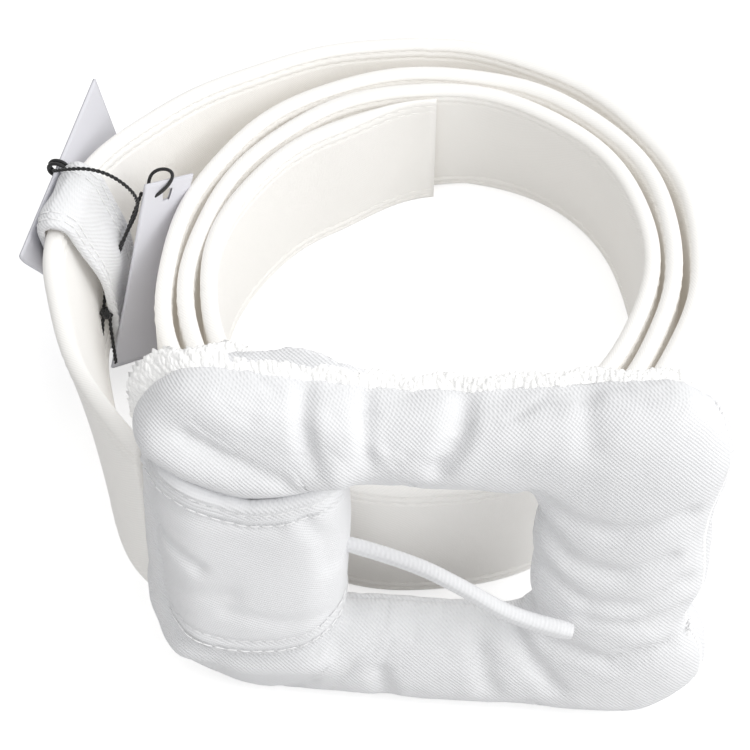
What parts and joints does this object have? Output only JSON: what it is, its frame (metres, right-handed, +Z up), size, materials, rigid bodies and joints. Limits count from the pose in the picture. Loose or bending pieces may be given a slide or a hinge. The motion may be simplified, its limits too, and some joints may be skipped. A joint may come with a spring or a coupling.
{
  "type": "fabric belt",
  "caption": "Coiled fabric waist belt with a stuffed rectangular frame buckle, cord tongue, keeper loop and blank hang tags.",
  "frame": {"origin": "centre of the belt's footprint on the surface it stands on, tags and strings left out", "axes": "+X to the right seen from the buckle's front, +Y from the buckle to the back of the coil, +Z up out of the coil"},
  "size_m": [0.1554, 0.1636, 0.0922],
  "materials": {
    "twill": "white cotton twill, matt",
    "lining": "white cotton twill, matt",
    "interlining": "stiff woven interlining",
    "thread": "white sewing thread",
    "overlock": "raw edge bound with looped white thread",
    "stuffing": "soft fibre filling",
    "board": "plain board",
    "card": "smooth blank card",
    "string": "thin black twisted string"
  },
  "bodies": {
    "strap": {"strap_cover": "twill", "strap_core": "interlining", "strap_lining": "lining", "edge_stitching": "thread", "string_long": "string", "string_short": "string", "string_knot": "string"},
    "buckle": {"strap_fold": "twill", "fold_stitching": "thread", "buckle_front_cover": "twill", "buckle_back_cover": "twill", "buckle_padding": "stuffing", "buckle_stiffener": "board", "buckle_seam_edge": "overlock", "side_tack": "thread"},
    "tongue": {"tongue_cord": "twill"},
    "keeper": {"keeper_loop": "twill", "keeper_seam": "thread"},
    "large_tag": {"hang_tag_large": "card", "large_tag_loop": "string"},
    "small_tag": {"hang_tag_small": "card", "small_tag_loop": "string"}
  },
  "joints": [
    {"name": "buckle_swing", "type": "hinge", "parent": "strap", "child": "buckle", "pos_m": [-0.04909, -0.05768, 0.04521], "axis": [-0.0145, -0.2074, -0.9781], "range_deg": [0, 75]},
    {"name": "tongue_swing", "type": "hinge", "parent": "buckle", "child": "tongue", "pos_m": [-0.00605, -0.06282, 0.04484], "axis": [-0.0145, -0.2074, -0.9781], "range_deg": [0, 70]},
    {"name": "keeper_slide", "type": "hinge", "parent": "strap", "child": "keeper", "pos_m": [-0.00558, 0.00633, 0], "axis": [0, 0.1914, 0.9815], "range_deg": [-3, 3]},
    {"name": "large_tag_swing", "type": "hinge", "parent": "strap", "child": "large_tag", "pos_m": [-0.07326, 0.02836, 0.058], "axis": [0.2419, 0.9703, 0], "range_deg": [0, 60]},
    {"name": "small_tag_lift", "type": "slide", "parent": "strap", "child": "small_tag", "axis": [0.2019, 0.4908, 0.8476], "range_m": [0, 0.03]}
  ]
}
